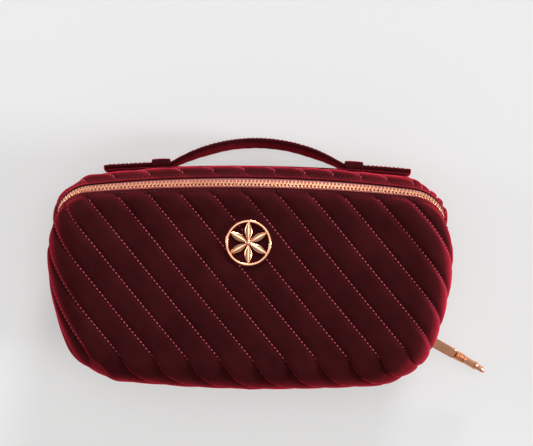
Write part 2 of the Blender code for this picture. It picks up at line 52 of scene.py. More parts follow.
# Form of the body, as the CAD model has it.
TOP_Y = 62.6 * MM
ARC_RADII = (690.0 * MM, 24.0 * MM, 128.0 * MM, 36.0 * MM)
ARC_ENDS = (90.0, 82.0, 13.5, -24.0, -85.4, -90.0)
WAIST_Z = 53.0 * MM
BACK_REACH = 20.0 * MM
LID_REACH = 20.0 * MM
LID_TOP_REACH = 22.5 * MM
FACE_MID_Z = 78.0 * MM
FACE_SLOPE = -0.14
ZIP_MID_Z = 40.4 * MM
ZIP_SLOPE = 0.40
RIM_GAP = 4.5 * MM
VELVET_DEPTH = 1.75 * MM
ZIP_LEFT_TURN = 222.0
ZIP_RIGHT_TURN = -39.0
LID_ZIP_TURN = -19.0
STOP_SPAN = 3.0

# Handle, in its own frame on the top wall: X along the strap, Y off the wall, Z across it.
HANDLE_X = 3.4 * MM
HANDLE_Z = 17.0 * MM
HANDLE_TILT = -20.0
BASE_HALF = 92.0 * MM
BASE_Y = (0.8 * MM, 2.5 * MM)
STRAP_Y = (2.7 * MM, 5.9 * MM)
STRAP_SAG = 3.8 * MM
STRAP_HALF = 94.0 * MM
GRIP_HALF = 44.0 * MM
ARCH_HALF = 53.0 * MM
ARCH_RISE = 13.4 * MM
ARCH_TWIST = math.radians(11.0)
LOOP_X = 59.0 * MM

# Badge, on the front.
BADGE_AT = (-1.0 * MM, 23.5 * MM)
BADGE_RADIUS = 13.5 * MM

# Quilting: straight channels, and the stitches that hold them.
LINE_SLANT = math.radians(-49.7)
LINE_PITCH = 14.55 * MM
LINE_OFFSET = 2.0 * MM
STITCH_PITCH = 2.5 * MM
STITCH_LENGTH = 1.55 * MM
THREAD_RADIUS = 0.30 * MM
FACE_CROWN = 1.3 * MM
REST_DROP = 0.77 * MM
STITCH_MARGIN = 4.5 * MM
EDGE_MARGIN = 2.6 * MM
EDGE_PITCH = 2.8 * MM

# Cross-sections of one stitch: share of its length, size, and lift off the cloth.
STITCH_SECTIONS = ((0.0, 0.25, -0.6), (0.18, 0.9, 0.5), (0.5, 1.0, 0.9), (0.82, 0.9, 0.5), (1.0, 0.25, -0.6))
STITCH_SIDES = 6

# Teeth and tape.
TOOTH_PITCH = 2.2 * MM
CHAIN_DEPTH = 2.4 * MM
RIB_PITCH = 0.55 * MM
STOP_HALF = (1.2 * MM, 2.2 * MM)
STOP_DROP = 0.95 * MM
HINGE_HALF = 5.6 * MM

# Depths of the lining's two faces, and how far it wrinkles.
LINING_DEPTHS = (6.0 * MM, 6.7 * MM)
LINING_WRINKLE = 0.5 * MM


# Small tools

def smooth_step(value, low, high):
    part = np.clip((value - low) / (high - low), 0.0, 1.0)
    return part * part * (3.0 - 2.0 * part)


def noise_field(points, scale, seed=0.0):
    """Smooth noise from -1 to 1 at each point."""
    shift = Vector((seed, seed, seed))
    return np.array([noise.noise(Vector(point) * scale + shift) for point in points])


def new_object(name, mesh, material, smooth=True, sharp=None):
    mesh.materials.append(material)
    if smooth:
        mesh.shade_smooth()
        if sharp is not None:
            mesh.set_sharp_from_angle(angle=math.radians(sharp))
    item = bpy.data.objects.new(name, mesh)
    bpy.context.scene.collection.objects.link(item)
    return item


def mesh_object(name, points, faces, material, sharp=None):
    mesh = bpy.data.meshes.new(name)
    mesh.from_pydata([tuple(point) for point in points], [], [tuple(int(i) for i in face) for face in faces])
    mesh.validate()
    return new_object(name, mesh, material, True, sharp)


def tube_faces(rows, sides, ring=False):
    """Quads between rows of closed loops: a ring, or a tube with its two ends capped."""
    index = np.arange(rows * sides).reshape(rows, sides)
    index = np.concatenate([index, index[:, :1]], axis=1)
    if ring:
        index = np.concatenate([index, index[:1]], axis=0)
    quads = np.stack([index[:-1, :-1], index[:-1, 1:], index[1:, 1:], index[1:, :-1]], -1)
    faces = quads.reshape(-1, 4).tolist()
    if not ring:
        faces.append(list(range(sides))[::-1])
        faces.append(index[-1, :-1].tolist())
    return faces


def repeat_faces(faces, corners, copies):
    """Faces of a shape with so many corners, for each of its copies in one list of points."""
    return [[corner + copy * corners for corner in face] for copy in range(copies) for face in faces]


def loft(name, rows, material, ring=False, sharp=None):
    """Closed body from rows of closed loops: a ring, or a strip with its two ends capped."""
    rows = np.asarray(rows, float)
    faces = tube_faces(rows.shape[0], rows.shape[1], ring)
    item = mesh_object(name, rows.reshape(-1, 3), faces, material, sharp)
    turn_outwards(item)
    return item


def turn_outwards(item):
    work = bmesh.new()
    work.from_mesh(item.data)
    bmesh.ops.recalc_face_normals(work, faces=work.faces[:])
    work.to_mesh(item.data)
    work.free()


def finish_piece(item, body, slot, *nodes):
    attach(item, body)
    if nodes:
        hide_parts(*nodes)
    return item


def put(place, x, y, z):
    """A point of a piece's own frame, in the scene."""
    return tuple(place @ Vector((x, y, z)))


# Form of the body

def outline_arcs():
    centre = np.array((0.0, TOP_Y - ARC_RADII[0]))
    arcs = []
    for index, radius in enumerate(ARC_RADII):
        start, end = ARC_ENDS[index], ARC_ENDS[index + 1]
        arcs.append((centre, radius, start, end))
        aim = np.array((math.cos(math.radians(end)), math.sin(math.radians(end))))
        following = ARC_RADII[index + 1] if index + 1 < len(ARC_RADII) else radius + centre[0] / aim[0]
        centre = centre + aim * (radius - following)
    arcs.append((centre, following, ARC_ENDS[4], ARC_ENDS[5]))
    return arcs


ARCS = outline_arcs()


def outline(turns):
    """Points and outward normals of the outline, by the direction of the normal in degrees."""
    turns = np.mod(np.asarray(turns, float) + 90.0, 360.0) - 90.0
    own = np.where(turns > 90.0, 180.0 - turns, turns)
    normal = np.stack([np.cos(np.radians(own)), np.sin(np.radians(own))], -1)
    spot = np.zeros_like(normal)
    for centre, radius, start, end in ARCS:
        here = (own <= start + 1e-9) & (own >= end - 1e-9)
        spot[here] = centre + normal[here] * radius
    flip = np.where(turns > 90.0, -1.0, 1.0)
    spot[..., 0] *= flip
    normal[..., 0] *= flip
    return spot, normal


def even_turns(start, end, count, closed=False):
    """Turns that are evenly spaced along the outline."""
    fine = np.linspace(start, end, 3001)
    spots, _ = outline(fine)
    run = np.concatenate([[0.0], np.cumsum(np.linalg.norm(np.diff(spots, axis=0), axis=1))])
    steps = np.linspace(0.0, run[-1], count + 1)[:-1] if closed else np.linspace(0.0, run[-1], count)
    return np.interp(steps, run, fine)


def round_turns(half_count):
    """Turns once round the outline, the same on the left as on the right."""
    return np.concatenate([even_turns(start, start + 180.0, half_count, True) for start in (-90.0, 90.0)])


def outline_length(start, end):
    spots, _ = outline(np.linspace(start, end, 2001))
    return float(np.linalg.norm(np.diff(spots, axis=0), axis=1).sum())


def face_z(y):
    return FACE_MID_Z + FACE_SLOPE * y


def lid_reach(normal):
    return LID_REACH - (LID_REACH - LID_TOP_REACH) * np.maximum(0.0, normal[..., 1]) ** 2


def lid_top(turns):
    spot, normal = outline(turns)
    return face_z(spot[..., 1] - normal[..., 1] * lid_reach(normal))


def lean_points(turns, leans, depth):
    """Points on the layer `depth` under the face: lean is -90 on the back and 90 on the front."""
    turns, leans, depth = np.broadcast_arrays(np.asarray(turns, float), leans, depth)
    spot, normal = outline(turns)
    low = leans < 0.0
    reach = np.where(low, BACK_REACH, lid_reach(normal))
    height = np.where(low, WAIST_Z, lid_top(turns) - WAIST_Z) - depth
    angle = np.radians(leans)
    inward = depth + (reach - depth) * (1.0 - np.cos(angle))
    flat = spot - normal * inward[..., None]
    return np.concatenate([flat, (WAIST_Z + height * np.sin(angle))[..., None]], -1)


def lean_at(turns, z, depth):
    height = np.where(z < WAIST_Z, WAIST_Z, lid_top(turns) - WAIST_Z) - depth
    return np.degrees(np.arcsin(np.clip((z - WAIST_Z) / height, -1.0, 1.0)))


def zip_lean(turns, lift, depth):
    """Lean of the layer at a height `lift` above the zip plane, found by halving."""
    turns, lift, depth = np.broadcast_arrays(np.asarray(turns, float), lift, depth)
    low, high = np.full(turns.shape, -90.0), np.full(turns.shape, 90.0)
    for _ in range(26):
        middle = (low + high) / 2
        point = lean_points(turns, middle, depth)
        under = point[..., 2] < ZIP_MID_Z + ZIP_SLOPE * point[..., 1] + lift
        low, high = np.where(under, middle, low), np.where(under, high, middle)
    return (low + high) / 2


def zip_points(turns, lift, depth):
    return lean_points(turns, zip_lean(turns, lift, depth), depth)


def tidy_turn(turns):
    return np.mod(np.asarray(turns, float) + 90.0, 360.0) - 90.0


# The skin of one half, laid out flat: the flat panel, with the wall unrolled round it.

class Skin:
    """Maps the flat layout of one half's velvet to its place on the body."""

    MERIDIAN = 161

    def __init__(self, side):
        self.side = side
        self.table_turns = np.linspace(-90.0, 270.0, 1441)[:-1]
        self.ring, self.normal = self.ring_at(self.table_turns)

    def ring_at(self, turns):
        spot, normal = outline(turns)
        reach = lid_reach(normal) if self.side > 0 else BACK_REACH
        return spot - normal * np.reshape(reach, (-1, 1) if np.ndim(reach) else (1, 1)), normal

    def leans(self, turns, run):
        """Lean at a distance `run` down the wall from the edge of the flat panel."""
        _, normal = outline(turns)
        steps = np.linspace(90.0 * self.side, -85.0 * self.side, self.MERIDIAN)
        middle = np.radians((steps[1:] + steps[:-1]) / 2)
        low = middle < 0.0
        reach = np.where(low[None, :], BACK_REACH, lid_reach(normal)[:, None])
        height = np.where(low[None, :], WAIST_Z, (lid_top(turns) - WAIST_Z)[:, None])
        pace = np.sqrt((reach * np.sin(middle)) ** 2 + (height * np.cos(middle)) ** 2)
        length = np.cumsum(pace * abs(math.radians(steps[1] - steps[0])), axis=1)
        length = np.concatenate([np.zeros((len(turns), 1)), length], axis=1)
        place = np.clip((length < run[:, None]).sum(1) - 1, 0, self.MERIDIAN - 2)
        row = np.arange(len(turns))
        before, after = length[row, place], length[row, place + 1]
        part = np.clip((run - before) / (after - before), 0.0, 1.0)
        return steps[place] + (steps[1] - steps[0]) * part

    def run_to(self, turns, lean):
        """Distance down the wall at which it reaches the given lean."""
        low, high = np.zeros(len(turns)), np.full(len(turns), 0.12)
        for _ in range(24):
            middle = (low + high) / 2
            passed = self.side * (self.leans(turns, middle) - lean) < 0.0
            high = np.where(passed, middle, high)
            low = np.where(passed, low, middle)
        return (low + high) / 2

    def locate(self, flat):
        """Turn and run of points of the flat layout; the run is negative on the flat panel."""
        best = np.zeros(len(flat), int)
        outer = self.ring + self.normal * 0.03
        for start in range(0, len(flat), 4000):
            part = flat[start:start + 4000]
            gap = ((part[:, None, :] - outer[None]) ** 2).sum(2)
            best[start:start + 4000] = gap.argmin(1)
        turns = self.table_turns[best]
        for _ in range(5):
            miss, slope = self.sideways(flat, turns), 0.05
            change = (self.sideways(flat, turns + slope) - miss) / slope
            turns = turns - np.clip(miss / np.where(abs(change) < 1e-9, 1e-9, change), -3.0, 3.0)
        ring, normal = self.ring_at(turns)
        return tidy_turn(turns), ((flat - ring) * normal).sum(1)

    def sideways(self, flat, turns):
        ring, normal = self.ring_at(turns)
        away = flat - ring
        return away[:, 0] * normal[:, 1] - away[:, 1] * normal[:, 0]

    def place(self, flat, turns, run, depth):
        """Points on the body, `depth` under the face."""
        points = lean_points(turns, self.leans(turns, np.maximum(run, 0.0)), depth)
        inside = run <= 0.0
        if self.side > 0:
            level = face_z(flat[:, 1]) - depth + face_crown(run)
        else:
            level = np.full(len(flat), float(depth))
        points[inside, :2] = flat[inside]
        points[inside, 2] = level[inside]
        return points


def face_crown(run):
    """How far the front's flat panel bulges."""
    return FACE_CROWN * smooth_step(-run, -1.0 * MM, 34.0 * MM)


def vertex_normals(points, faces):
    corners = points[faces]
    face_normals = np.cross(corners[:, 1] - corners[:, 0], corners[:, 2] - corners[:, 0])
    normals = np.zeros_like(points)
    for corner in range(3):
        np.add.at(normals, faces[:, corner], face_normals)
    return normals / np.maximum(np.linalg.norm(normals, axis=1, keepdims=True), 1e-12)


def quilt_axes(side):
    """Directions along and across the channels in a half's flat layout."""
    slant = LINE_SLANT * side
    along = np.array((math.cos(slant), math.sin(slant)))
    across = np.array((-along[1], along[0])) * side
    return along, across


# Rows of points to either side of each stitch line, as shares of the channel's width.
ROW_SHARES = (0.0, 0.022, 0.06, 0.12, 0.22, 0.36, 0.5, 0.64, 0.78, 0.88, 0.94, 0.978)


def quilt_layout(rim, side):
    """Triangles over the flat layout, with rows of points along every stitch line."""
    along, across = quilt_axes(side)
    reach = np.abs(rim).max() * 1.5
    low, high = rim.min(0), rim.max(0)
    points = []
    first = int(math.floor(-reach / LINE_PITCH))
    for line in range(first, -first + 1):
        for share in ROW_SHARES:
            near = min(share, 1.0 - share)
            step = (0.85 if near < 0.13 else 1.7) * MM
            offset = LINE_OFFSET + (line + share) * LINE_PITCH
            shift = 0.5 * step * (ROW_SHARES.index(share) % 2)
            runs = np.arange(-reach, reach, step) + shift
            row = across * offset + runs[:, None] * along
            points.append(row[((row > low) & (row < high)).all(1)])
    points = np.concatenate(points)
    points = points[inside_outline(points, rim, 0.5 * MM)]
    corners = [Vector(point) for point in rim] + [Vector(point) for point in points]
    edges = [(index, (index + 1) % len(rim)) for index in range(len(rim))]
    found, _, faces, _, _, _ = delaunay_2d_cdt(corners, edges, [list(range(len(rim)))], 1, 1e-7)
    return np.array([tuple(point) for point in found]), np.array([tuple(face) for face in faces])


def inside_outline(points, rim, margin):
    """Which points lie inside a convex outline by at least a margin."""
    beside = np.roll(rim, -1, axis=0)
    edge = beside - rim
    edge /= np.linalg.norm(edge, axis=1, keepdims=True)
    inward = np.stack([-edge[:, 1], edge[:, 0]], 1)
    keep = np.ones(len(points), bool)
    for start in range(0, len(points), 8000):
        part = points[start:start + 8000]
        gap = ((part[:, None, :] - rim[None]) * inward[None]).sum(2)
        keep[start:start + 8000] = (gap > margin).all(1)
    return keep


def channel_share(flat, side):
    """Where each point lies across its channel, from 0 to 1, and its distance along it."""
    along, across = quilt_axes(side)
    share = (flat @ across - LINE_OFFSET) / LINE_PITCH
    return share - np.floor(share), flat @ along


def quilt_height(flat, turns, run, to_rim, side):
    """How far the velvet stands off the CAD surface: puffed channels, puckers and folds."""
    share, along = channel_share(flat, side)
    _, normal = outline(turns)
    near = np.minimum(share, 1.0 - share)
    arch = 1.0 - np.abs(2.0 * share - 1.0) ** 2.4
    over_edge = smooth_step(run, -10.0 * MM, 14.0 * MM)
    top = smooth_step(normal[:, 1], 0.45, 0.95)
    round_edge = over_edge
    if side > 0:
        round_edge = over_edge * (1.0 - 0.75 * smooth_step(run, 13.0 * MM, 27.0 * MM))
    puff = (0.55 + 0.85 * round_edge) * MM
    groove = (0.60 + 0.45 * round_edge) * MM
    if side < 0:
        puff = puff * (1.0 - 0.65 * top)
        groove = groove * (1.0 - 0.5 * top)
    height = puff * arch - groove * (1.0 - smooth_step(near, 0.0, 0.16))
    pucker = 0.13 * MM * np.cos(2.0 * math.pi * along / STITCH_PITCH) * (1.0 - smooth_step(near, 0.02, 0.14))
    height = height + pucker
    fold = np.zeros(len(flat))
    if side > 0:
        bottom = smooth_step(-normal[:, 1], 0.25, 0.85) * smooth_step(run, -9.0 * MM, 9.0 * MM)
        fold = bottom * (1.0 - 0.92 * smooth_step(run, 11.0 * MM, 27.0 * MM))
        ramp = (1.0 - share) ** 1.2 * smooth_step(share, 0.0, 0.03)
        height = height * (1.0 - 0.75 * fold) + fold * (4.2 * MM * ramp - 2.2 * MM)
    facing = np.degrees(np.arctan2(normal[:, 1], normal[:, 0]))
    from_side = np.where(np.abs(facing) > 90.0, 180.0 - np.abs(facing), np.abs(facing)) * np.sign(facing)
    sides = over_edge * np.exp(-((from_side - 10.0) / 22.0) ** 2)
    shoulders = over_edge * np.exp(-((from_side - 58.0) / 17.0) ** 2) * (side < 0)
    heels = over_edge * np.exp(-((from_side + 62.0) / 20.0) ** 2) * np.where(normal[:, 0] < 0.0, 1.0, 0.4)
    height = height + (0.9 * sides - 2.3 * shoulders - 3.2 * heels) * MM
    seam = smooth_step(to_rim, 0.5 * MM, 7.0 * MM)
    if side > 0:
        from_badge = np.hypot(flat[:, 0] - BADGE_AT[0], flat[:, 1] - BADGE_AT[1])
        pressed = (1.0 - smooth_step(from_badge, 12.5 * MM, 24.0 * MM)) * (run < 0.0)
        height = height * (1.0 - pressed) - pressed * (face_crown(run) + 0.05 * MM)
    else:
        ridge = smooth_step(to_rim, 2.5 * MM, 9.0 * MM) * (1.0 - smooth_step(to_rim, 13.0 * MM, 25.0 * MM))
        height = height + top * ridge * 2.3 * MM
    return height * seam - 0.8 * MM * (1.0 - seam), fold * seam


def resting_share(run):
    """How much of the back's velvet lies flat on the table, by its distance down the wall."""
    return 1.0 - smooth_step(run, 0.0, 12.0 * MM)


def strap_bed(points):
    """How much of the strap lies over each point of the velvet, and the gap up to the strap's base."""
    across = points[:, 0] - HANDLE_X
    from_middle = np.abs(points[:, 2] - HANDLE_Z)
    cover = (1.0 - smooth_step(from_middle, 7.5 * MM, 15.0 * MM)) * (points[:, 1] > 0.03)
    cover = cover * (1.0 - smooth_step(np.abs(across), BASE_HALF - 2.0 * MM, BASE_HALF + 9.0 * MM))
    wall = -points[:, 0] ** 2 / (2.0 * ARC_RADII[0])
    return cover, BASE_Y[0] + base_rise(across) - wall - 0.1 * MM


def make_velvet(name, side, body, material, *nodes):
    """The quilted skin of one half: puffed outer face, plain inner face, and a closed rim."""
    skin = Skin(side)
    turns = round_turns(260)
    rim_run = skin.run_to(turns, zip_lean(turns, side * RIM_GAP, 0.0))
    ring, normal = skin.ring_at(turns)
    rim = ring + normal * rim_run[:, None]
    flat, faces = quilt_layout(rim, side)
    turn, run = skin.locate(flat)
    order = np.argsort(tidy_turn(turns))
    to_rim = np.interp(turn, tidy_turn(turns)[order], rim_run[order], period=360.0) - run
    outer = skin.place(flat, turn, run, 0.0)
    faces = faces if side > 0 else faces[:, ::-1]
    normals = vertex_normals(outer, faces)
    height, fold = quilt_height(flat, turn, run, to_rim, side)
    soft = noise_field(outer, 34.0, 3.0 * side) * 0.35 * MM + noise_field(outer, 90.0, 7.0) * 0.12 * MM
    if side < 0:
        resting = resting_share(run)
        height = height - REST_DROP * resting
        soft = np.minimum(soft, 0.0) * resting + soft * (1.0 - resting)
        cover, gap = strap_bed(outer)
        height = height * (1.0 - cover) + gap * cover
        soft = soft * (1.0 - cover)
    seam = smooth_step(to_rim, 1.0 * MM, 8.0 * MM)
    outer = outer + normals * (height + soft * seam)[:, None]
    if side > 0:
        share, _ = channel_share(flat, side)
        lip = fold * np.exp(-share / 0.10) * 2.6 * MM
        sweep = np.append(quilt_axes(side)[1], 0.0)
        sweep = sweep - normals * (sweep * normals).sum(1, keepdims=True)
        outer = outer - sweep * lip[:, None]
    else:
        outer[:, 2] = np.maximum(outer[:, 2], 0.02 * MM)
    inner = skin.place(flat, turn, run, VELVET_DEPTH)
    count = len(outer)
    every = faces.tolist() + (faces[:, ::-1] + count).tolist()
    for index in range(len(rim)):
        beside = (index + 1) % len(rim)
        every.append((index, index + count, beside + count, beside))
    item = mesh_object(name, np.concatenate([outer, inner]), every, material, 70.0)
    turn_outwards(item)
    finish_piece(item, body, "velvet", *nodes)
    return skin


# Materials

class Nodes:
    """Short way to add and link shader nodes."""

    def __init__(self, name, color, roughness, metallic=0.0):
        self.material = bpy.data.materials.new(name)
        self.material.use_nodes = True
        self.tree = self.material.node_tree
        self.shader = self.tree.nodes["Principled BSDF"]
        self.set("Base Color", (*color, 1.0))
        self.set("Roughness", roughness)
        self.set("Metallic", metallic)
        self.material.diffuse_color = (*color, 1.0)

    def set(self, socket, value):
        self.shader.inputs[socket].default_value = value

    def add(self, kind, **values):
        node = self.tree.nodes.new(kind)
        for key, value in values.items():
            if key in node.inputs:
                node.inputs[key].default_value = value
            else:
                setattr(node, key, value)
        return node

    def link(self, source, target):
        self.tree.links.new(source, target)

    def position(self):
        return self.add("ShaderNodeTexCoord").outputs["Object"]

    def noise(self, scale, detail=3.0, vector=None, roughness=0.55):
        node = self.add("ShaderNodeTexNoise", Scale=scale, Detail=detail, Roughness=roughness)
        self.link(vector if vector is not None else self.position(), node.inputs["Vector"])
        return node.outputs["Fac"]

    def colors(self, factor, *stops):
        ramp = self.add("ShaderNodeValToRGB")
        self.link(factor, ramp.inputs["Fac"])
        for element, (place, color) in zip(ramp.color_ramp.elements, (stops[0], stops[-1])):
            element.position = place
            element.color = (*color, 1.0)
        for place, color in stops[1:-1]:
            ramp.color_ramp.elements.new(place).color = (*color, 1.0)
        return ramp.outputs["Color"]

    def mottle(self, scale, detail, *stops):
        """Base colour that varies softly over the piece."""
        self.link(self.colors(self.noise(scale, detail), *stops), self.shader.inputs["Base Color"])

    def bump(self, height, strength, distance):
        node = self.add("ShaderNodeBump", Strength=strength, Distance=distance)
        self.link(height, node.inputs["Height"])
        self.link(node.outputs["Normal"], self.shader.inputs["Normal"])
        return node


def velvet_material(name, dark, light):
    """Velvet: nearly black red face on, with painted sheen: the base colour turns crimson where the surface
    is seen edge-on.
    """
    nodes = Nodes(name, dark, 1.0)
    # Painted sheen: the facing ramp lightens the base colour from the dark face-on colour to bright crimson
    # towards the silhouettes. The noise after it only varies the tone at random.
    facing = nodes.add("ShaderNodeLayerWeight", Blend=0.5).outputs["Facing"]
    painted_sheen = nodes.colors(facing, (0.0, dark), (0.30, light), (0.58, (0.150, 0.0098, 0.0160)),
                        (0.82, (0.30, 0.0180, 0.0320)), (1.0, (0.50, 0.028, 0.055)))
    shade = nodes.colors(nodes.noise(55.0, 4.0), (0.3, (0.78, 0.78, 0.78)), (0.72, (1.12, 1.12, 1.12)))
    mix = nodes.add("ShaderNodeMix", data_type="RGBA", blend_type="MULTIPLY")
    mix.inputs[0].default_value = 1.0
    nodes.link(painted_sheen, mix.inputs[6])
    nodes.link(shade, mix.inputs[7])
    nodes.link(mix.outputs[2], nodes.shader.inputs["Base Color"])
    nodes.set("Specular IOR Level", 0.0)
    nodes.set("Sheen Weight", 0.55)
    nodes.set("Sheen Roughness", 0.30)
    nodes.set("Sheen Tint", (0.62, 0.028, 0.055, 1.0))
    nodes.bump(nodes.noise(2600.0, 2.0), 0.30, 0.0004)
    return nodes.material


def thread_material(name, color):
    nodes = Nodes(name, color, 0.55)
    wave = nodes.add("ShaderNodeTexWave", Scale=1400.0, Distortion=0.0)
    nodes.link(nodes.position(), wave.inputs["Vector"])
    nodes.bump(wave.outputs["Fac"], 0.4, 0.0001)
    nodes.set("Specular IOR Level", 0.15)
    return nodes.material


def satin_material(name, dark, light, roughness, weave=1800.0):
    nodes = Nodes(name, dark, roughness)
    nodes.mottle(70.0, 3.0, (0.3, dark), (0.75, light))
    nodes.set("Specular IOR Level", 0.45)
    nodes.set("Sheen Weight", 0.25)
    nodes.bump(nodes.noise(weave, 2.0), 0.25, 0.0002)
    return nodes.material


def metal_material(name, color, light, roughness):
    nodes = Nodes(name, color, roughness, 1.0)
    nodes.mottle(120.0, 2.0, (0.3, color), (0.8, light))
    rough = nodes.add("ShaderNodeMapRange")
    rough.inputs["To Min"].default_value = roughness - 0.05
    rough.inputs["To Max"].default_value = roughness + 0.08
    nodes.link(nodes.noise(700.0, 4.0), rough.inputs["Value"])
    nodes.link(rough.outputs["Result"], nodes.shader.inputs["Roughness"])
    return nodes.material


MATERIALS = {
    # The velvet's first colour is its own face-on colour; the second is the first step of its painted sheen.
    "velvet": velvet_material("burgundy_velvet", (0.033, 0.0050, 0.0058), (0.046, 0.0058, 0.0070)),
    "thread": thread_material("quilting_thread", (0.40, 0.065, 0.095)),
    "dark_thread": thread_material("edge_thread", (0.045, 0.0045, 0.007)),
    "lining": satin_material("black_satin", (0.010, 0.009, 0.011), (0.018, 0.015, 0.018), 0.38),
    "elastic": satin_material("black_elastic", (0.014, 0.013, 0.014), (0.024, 0.022, 0.024), 0.7, 900.0),
    "tape": satin_material("zip_tape", (0.25, 0.043, 0.043), (0.34, 0.062, 0.060), 0.6, 2400.0),
    "wadding": satin_material("wadding", (0.74, 0.72, 0.68), (0.86, 0.85, 0.82), 0.95, 500.0),
    "board": satin_material("grey_board", (0.22, 0.22, 0.22), (0.30, 0.30, 0.29), 0.75, 600.0),
    "gold": metal_material("rose_gold", (0.82, 0.37, 0.21), (0.90, 0.47, 0.30), 0.20),
}


# Stitches

def stitch_mesh(name, starts, ends, normals, material):
    """Short rounded stitches from start to end, arched out of the cloth."""
    along = ends - starts
    length = np.linalg.norm(along, axis=1, keepdims=True)
    along = along / length
    beside = np.cross(normals, along)
    beside /= np.linalg.norm(beside, axis=1, keepdims=True)
    up = np.cross(along, beside)
    rows = []
    for share, size, lift in STITCH_SECTIONS:
        middle = starts + along * length * share + up * THREAD_RADIUS * lift
        for side in range(STITCH_SIDES):
            turn = 2.0 * math.pi * side / STITCH_SIDES
            rows.append(middle + (beside * math.cos(turn) + up * math.sin(turn)) * THREAD_RADIUS * size)
    points = np.stack(rows, 1)
    faces = repeat_faces(tube_faces(len(STITCH_SECTIONS), STITCH_SIDES), len(rows), len(points))
    return mesh_object(name, points.reshape(-1, 3), faces, material, 60.0)


def skin_normals(skin, flat):
    """Outward normals of the body at points of the flat layout."""
    step = 0.4 * MM
    shifts = [np.array((0.0, 0.0)), np.array((step, 0.0)), np.array((0.0, step))]
    spots = []
    for shift in shifts:
        moved = flat + shift
        turn, run = skin.locate(moved)
        spots.append(skin.place(moved, turn, run, 0.0))
    normal = np.cross(spots[1] - spots[0], spots[2] - spots[0])
    return skin.side * normal / np.linalg.norm(normal, axis=1, keepdims=True)


def lay_stitches(name, skin, firsts, lasts, to_rim_at, body, material, lift=0.1 * MM):
    """Stitches on the velvet between pairs of points of the flat layout."""
    ends = []
    for flat in (firsts, lasts):
        turn, run = skin.locate(flat)
        point = skin.place(flat, turn, run, 0.0)
        height, fold = quilt_height(flat, turn, run, to_rim_at(turn) - run, skin.side)
        normal = skin_normals(skin, flat)
        resting = REST_DROP * resting_share(run) if skin.side < 0 else 0.0
        cover = strap_bed(point)[0] if skin.side < 0 else 0.0
        ends.append((point + normal * (height + lift - resting)[:, None], normal, fold + cover))
    keep = np.maximum(ends[0][2], ends[1][2]) < 0.35
    item = stitch_mesh(name, ends[0][0][keep], ends[1][0][keep], ends[0][1][keep], material)
    return finish_piece(item, body, "velvet")


def rim_reader(skin):
    turns = np.linspace(-90.0, 270.0, 721)[:-1]
    runs = skin.run_to(turns, zip_lean(turns, skin.side * RIM_GAP, 0.0))
    return lambda asked: np.interp(asked, turns, runs, period=360.0)


def make_quilt_stitches(name, skin, body):
    along, across = quilt_axes(skin.side)
    rim_at = rim_reader(skin)
    starts = []
    for line in range(-12, 13):
        runs = np.arange(-0.22, 0.22, STITCH_PITCH)
        starts.append(across * (LINE_OFFSET + line * LINE_PITCH) + runs[:, None] * along)
    starts = np.concatenate(starts)
    ends = starts + along * STITCH_LENGTH
    keep = np.ones(len(starts), bool)
    for flat in (starts, ends):
        turn, run = skin.locate(flat)
        keep &= run < rim_at(turn) - STITCH_MARGIN
    lay_stitches(name, skin, starts[keep], ends[keep], rim_at, body, MATERIALS["thread"])


def make_edge_stitches(name, skin, body):
    """Topstitching that follows the zip a little way in from the velvet's edge."""
    rim_at = rim_reader(skin)
    count = int(outline_length(-90.0, 270.0) / EDGE_PITCH)
    turns = even_turns(-90.0, 270.0, 2 * count, True)
    ring, normal = skin.ring_at(turns)
    flat = ring + normal * (rim_at(turns) - EDGE_MARGIN)[:, None]
    starts, ends = flat[0::2], flat[1::2]
    lay_stitches(name, skin, starts, starts + (ends - starts) * 1.25, rim_at, body,
                 MATERIALS["dark_thread"], 0.22 * MM)


# Zip

def zip_rows(turns, section, ribs=0.0):
    """Rows of points along the zip; section is a closed loop of (height off the zip plane, depth)."""
    return np.stack([zip_points(turns, lift, depth + ribs) for lift, depth in section], 1)


def make_tapes():
    widths = np.array((9.0, 7.4, 5.8, 4.6, 3.6, 2.7, 1.9, 1.1)) * MM
    for half, side, start, end, body in (
            ("back", -1.0, ZIP_RIGHT_TURN - 4.0, ZIP_LEFT_TURN + 4.0, "back_half"),
            ("front", 1.0, LID_ZIP_TURN, ZIP_LEFT_TURN - STOP_SPAN - 0.4, "lid")):
        count = int(outline_length(start, end) / RIB_PITCH)
        ribs = 0.05 * MM * np.where(np.arange(count) % 2, 1.0, -1.0)
        section = [(side * width, 2.1 * MM - 0.35 * MM * math.exp(-((width - 2.7 * MM) / (0.8 * MM)) ** 2))
                   for width in widths]
        section += [(side * width, 2.62 * MM) for width in widths[::-1]]
        rows = zip_rows(even_turns(start, end, count), section, ribs)
        item = loft("zip_tape_%s_cloth" % half, rows, MATERIALS["tape"], sharp=50.0)
        finish_piece(item, body, "zip_tape", "zip_tape_" + half)


def tooth_shape():
    """One cast tooth: X along the chain, Y towards the other row, Z out of the bag."""
    work = bmesh.new()
    profile = [(-0.62, -2.35), (0.62, -2.35), (0.62, -0.75), (0.40, -0.35), (0.52, 0.42),
               (0.30, 0.62), (-0.30, 0.62), (-0.52, 0.42), (-0.40, -0.35), (-0.62, -0.75)]
    low = [work.verts.new((x * MM, y * MM, -1.1 * MM)) for x, y in profile]
    high = [work.verts.new((x * MM, y * MM, 1.1 * MM)) for x, y in profile]
    work.faces.new(low[::-1])
    work.faces.new(high)
    for index in range(len(profile)):
        beside = (index + 1) % len(profile)
        work.faces.new((low[index], low[beside], high[beside], high[index]))
    bmesh.ops.bevel(work, geom=work.edges[:], offset=0.14 * MM, segments=1, affect="EDGES", profile=0.6)
    bmesh.ops.recalc_face_normals(work, faces=work.faces[:])
    work.verts.index_update()
    points = np.array([tuple(corner.co) for corner in work.verts])
    faces = [[corner.index for corner in face.verts] for face in work.faces]
    work.free()
    return points, faces


